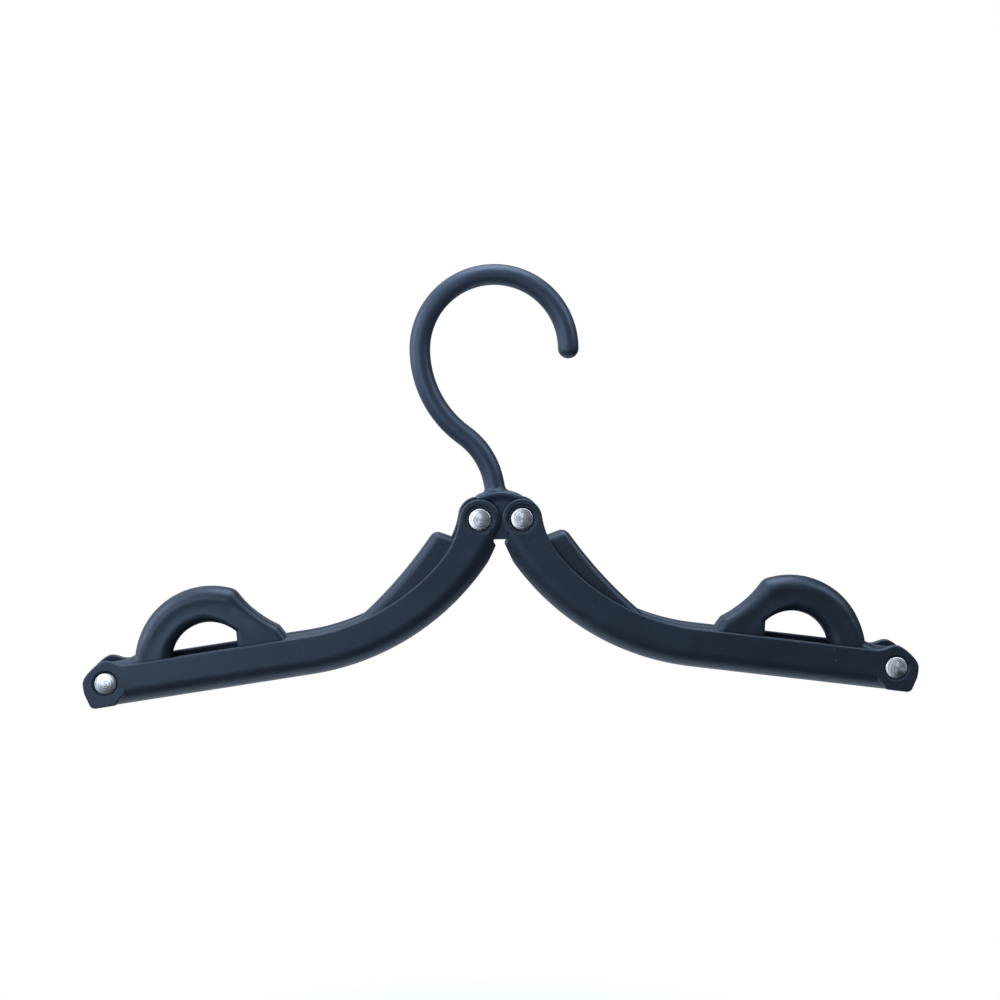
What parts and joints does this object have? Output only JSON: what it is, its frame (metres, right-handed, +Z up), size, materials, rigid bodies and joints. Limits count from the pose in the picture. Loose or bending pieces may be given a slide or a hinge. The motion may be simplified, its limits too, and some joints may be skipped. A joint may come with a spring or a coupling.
{
  "type": "folding travel hanger",
  "caption": "Folding clothes hanger with a plastic hook, hinged channel arms and swing-out extensions with finger loops, held by flush rivets.",
  "frame": {"origin": "rail seat: the lowest point of the hook rod's underside at the top of the ring, where a wardrobe rail bears", "axes": "+Z up, against gravity as the hanger hangs; X along the arms, with the hook's mouth towards +X; the rivets' formed heads face -Y"},
  "size_m": [0.25, 0.0135, 0.13],
  "materials": {
    "hook_plastic": "satin black moulded plastic, faintly blue",
    "arm_plastic": "satin black moulded plastic, faintly blue",
    "extension_plastic": "satin black moulded plastic, faintly blue",
    "rivet_aluminium": "bright turned heads with fine swirl marks"
  },
  "bodies": {
    "hook": {"hook_hub": "hook_plastic", "hub_rivet_left": "rivet_aluminium", "hub_rivet_right": "rivet_aluminium"},
    "left_arm": {"left_arm": "arm_plastic", "tip_rivet_left": "rivet_aluminium"},
    "right_arm": {"right_arm": "arm_plastic", "tip_rivet_right": "rivet_aluminium"},
    "left_extension": {"left_extension": "extension_plastic"},
    "right_extension": {"right_extension": "extension_plastic"}
  },
  "joints": [
    {"name": "left_arm_fold", "type": "hinge", "parent": "hook", "child": "left_arm", "pos_m": [-0.0053, 0, -0.06927], "axis": [0, 1, 0], "range_deg": [0, 85]},
    {"name": "right_arm_fold", "type": "hinge", "parent": "hook", "child": "right_arm", "pos_m": [0.00726, 0, -0.06927], "axis": [0, -1, 0], "range_deg": [0, 85]},
    {"name": "left_extension_swing", "type": "hinge", "parent": "left_arm", "child": "left_extension", "pos_m": [-0.1172, 0, -0.11617], "axis": [0, -1, 0], "range_deg": [0, 180]},
    {"name": "right_extension_swing", "type": "hinge", "parent": "right_arm", "child": "right_extension", "pos_m": [0.11916, 0, -0.11617], "axis": [0, 1, 0], "range_deg": [0, 180]}
  ]
}
